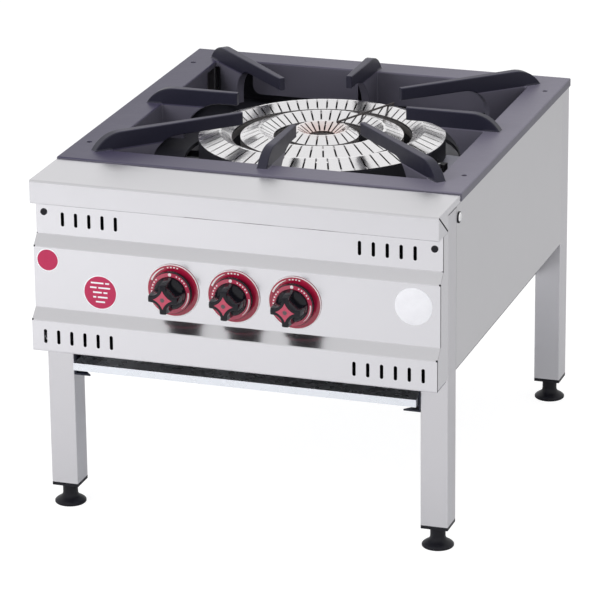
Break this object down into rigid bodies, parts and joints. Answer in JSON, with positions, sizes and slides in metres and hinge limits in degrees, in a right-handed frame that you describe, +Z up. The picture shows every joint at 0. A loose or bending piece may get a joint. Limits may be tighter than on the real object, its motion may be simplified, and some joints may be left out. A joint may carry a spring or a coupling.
{
  "type": "stock pot range",
  "caption": "Low square gas range on legs for stock pots, with a ring burner under a cast top with fingers, a stepped front panel with knobs, and a drip tray.",
  "frame": {"origin": "on the floor, under the middle of the whole range's box, with its feet screwed right in", "axes": "+X to the cook's right, -Y towards the cook at the knobs, +Y towards the gas inlet, +Z up"},
  "size_m": [0.606, 0.7634, 0.539],
  "materials": {
    "stainless": "brushed stainless sheet",
    "leg_steel": "satin stainless tube",
    "galvanised": "galvanised sheet",
    "enamelled_iron": "dark satin coat on cast iron",
    "burner_iron": "cast iron",
    "ring_iron": "pale heat-resistant coat on cast iron",
    "black_plastic": "moulded black plastic",
    "knob_black": "glossy black phenolic",
    "knob_red": "glossy red inlay",
    "bezel_red": "glossy red plate",
    "brass": "turned brass",
    "spring_steel": "spring wire",
    "zinc_steel": "zinc plated",
    "pipe_steel": "drawn steel pipe"
  },
  "bodies": {
    "range": {"back_panel": "stainless", "burner_body": "burner_iron", "burner_bolts": "zinc_steel", "burner_pipes": "pipe_steel", "burner_ring_inner": "ring_iron", "burner_ring_middle": "ring_iron", "burner_ring_outer": "ring_iron", "burner_support_bars": "galvanised", "cast_top": "enamelled_iron", "cast_top_screws": "zinc_steel", "control_panel": "stainless", "drip_tray_runners": "galvanised", "flame_carry_bar": "burner_iron", "front_hood": "stainless", "gas_injectors": "brass", "gas_inlet_pipe": "pipe_steel", "gas_manifold": "pipe_steel", "gas_tap_centre": "brass", "gas_tap_left": "brass", "gas_tap_right": "brass", "knob_bezels": "bezel_red", "leg_end_caps": "black_plastic", "leg_front_left": "leg_steel", "leg_front_right": "leg_steel", "leg_rear_left": "leg_steel", "leg_rear_right": "leg_steel", "lower_frame_rails": "leg_steel", "mixing_tubes": "burner_iron", "panel_plugs": "black_plastic", "pilot_burner": "burner_iron", "side_panel_left": "stainless", "side_panel_right": "stainless", "side_screws": "zinc_steel", "spill_pan": "galvanised", "tap_bonnets": "brass", "thermocouple": "pipe_steel", "upper_frame_rails": "leg_steel"},
    "drip_tray": {"drip_tray": "galvanised"},
    "foot_front_left": {"levelling_foot_front_left": "black_plastic"},
    "foot_front_right": {"levelling_foot_front_right": "black_plastic"},
    "foot_rear_left": {"levelling_foot_rear_left": "black_plastic"},
    "foot_rear_right": {"levelling_foot_rear_right": "black_plastic"},
    "tap_plug_left": {"tap_plug_left": "brass", "tap_spring_left": "spring_steel"},
    "knob_left": {"tap_spindle_left": "zinc_steel", "knob_left": "knob_black", "knob_trim_left": "knob_red"},
    "air_shutter_left": {"air_shutter_left": "zinc_steel"},
    "tap_plug_centre": {"tap_plug_centre": "brass", "tap_spring_centre": "spring_steel"},
    "knob_centre": {"tap_spindle_centre": "zinc_steel", "knob_centre": "knob_black", "knob_trim_centre": "knob_red"},
    "air_shutter_centre": {"air_shutter_centre": "zinc_steel"},
    "tap_plug_right": {"tap_plug_right": "brass", "tap_spring_right": "spring_steel"},
    "knob_right": {"tap_spindle_right": "zinc_steel", "knob_right": "knob_black", "knob_trim_right": "knob_red"},
    "air_shutter_right": {"air_shutter_right": "zinc_steel"}
  },
  "joints": [
    {"name": "drip_tray_slide", "type": "slide", "parent": "range", "child": "drip_tray", "axis": [0, -1, 0], "range_m": [0, 0.4]},
    {"name": "levelling_foot_front_left_screw", "type": "slide", "parent": "range", "child": "foot_front_left", "axis": [0, 0, -1], "range_m": [0, 0.02]},
    {"name": "levelling_foot_front_right_screw", "type": "slide", "parent": "range", "child": "foot_front_right", "axis": [0, 0, -1], "range_m": [0, 0.02]},
    {"name": "levelling_foot_rear_left_screw", "type": "slide", "parent": "range", "child": "foot_rear_left", "axis": [0, 0, -1], "range_m": [0, 0.02]},
    {"name": "levelling_foot_rear_right_screw", "type": "slide", "parent": "range", "child": "foot_rear_right", "axis": [0, 0, -1], "range_m": [0, 0.02]},
    {"name": "knob_turn_left", "type": "hinge", "parent": "range", "child": "tap_plug_left", "pos_m": [-0.09, -0.32015, 0.36575], "axis": [0, -1, 0], "range_deg": [0, 210]},
    {"name": "knob_push_left", "type": "slide", "parent": "tap_plug_left", "child": "knob_left", "axis": [0, 1, 0], "range_m": [0, 0.004], "stiffness_N_per_m": 1500, "springref_m": -0.002, "deforming": ["tap_spring_left"]},
    {"name": "air_shutter_turn_left", "type": "hinge", "parent": "range", "child": "air_shutter_left", "pos_m": [-0.09, -0.17935, 0.427], "axis": [0, 1, 0], "range_deg": [0, 60]},
    {"name": "knob_turn_centre", "type": "hinge", "parent": "range", "child": "tap_plug_centre", "pos_m": [0, -0.32015, 0.36575], "axis": [0, -1, 0], "range_deg": [0, 210]},
    {"name": "knob_push_centre", "type": "slide", "parent": "tap_plug_centre", "child": "knob_centre", "axis": [0, 1, 0], "range_m": [0, 0.004], "stiffness_N_per_m": 1500, "springref_m": -0.002, "deforming": ["tap_spring_centre"]},
    {"name": "air_shutter_turn_centre", "type": "hinge", "parent": "range", "child": "air_shutter_centre", "pos_m": [0, -0.17935, 0.427], "axis": [0, 1, 0], "range_deg": [0, 60]},
    {"name": "knob_turn_right", "type": "hinge", "parent": "range", "child": "tap_plug_right", "pos_m": [0.09, -0.32015, 0.36575], "axis": [0, -1, 0], "range_deg": [0, 210]},
    {"name": "knob_push_right", "type": "slide", "parent": "tap_plug_right", "child": "knob_right", "axis": [0, 1, 0], "range_m": [0, 0.004], "stiffness_N_per_m": 1500, "springref_m": -0.002, "deforming": ["tap_spring_right"]},
    {"name": "air_shutter_turn_right", "type": "hinge", "parent": "range", "child": "air_shutter_right", "pos_m": [0.09, -0.17935, 0.427], "axis": [0, 1, 0], "range_deg": [0, 60]}
  ]
}
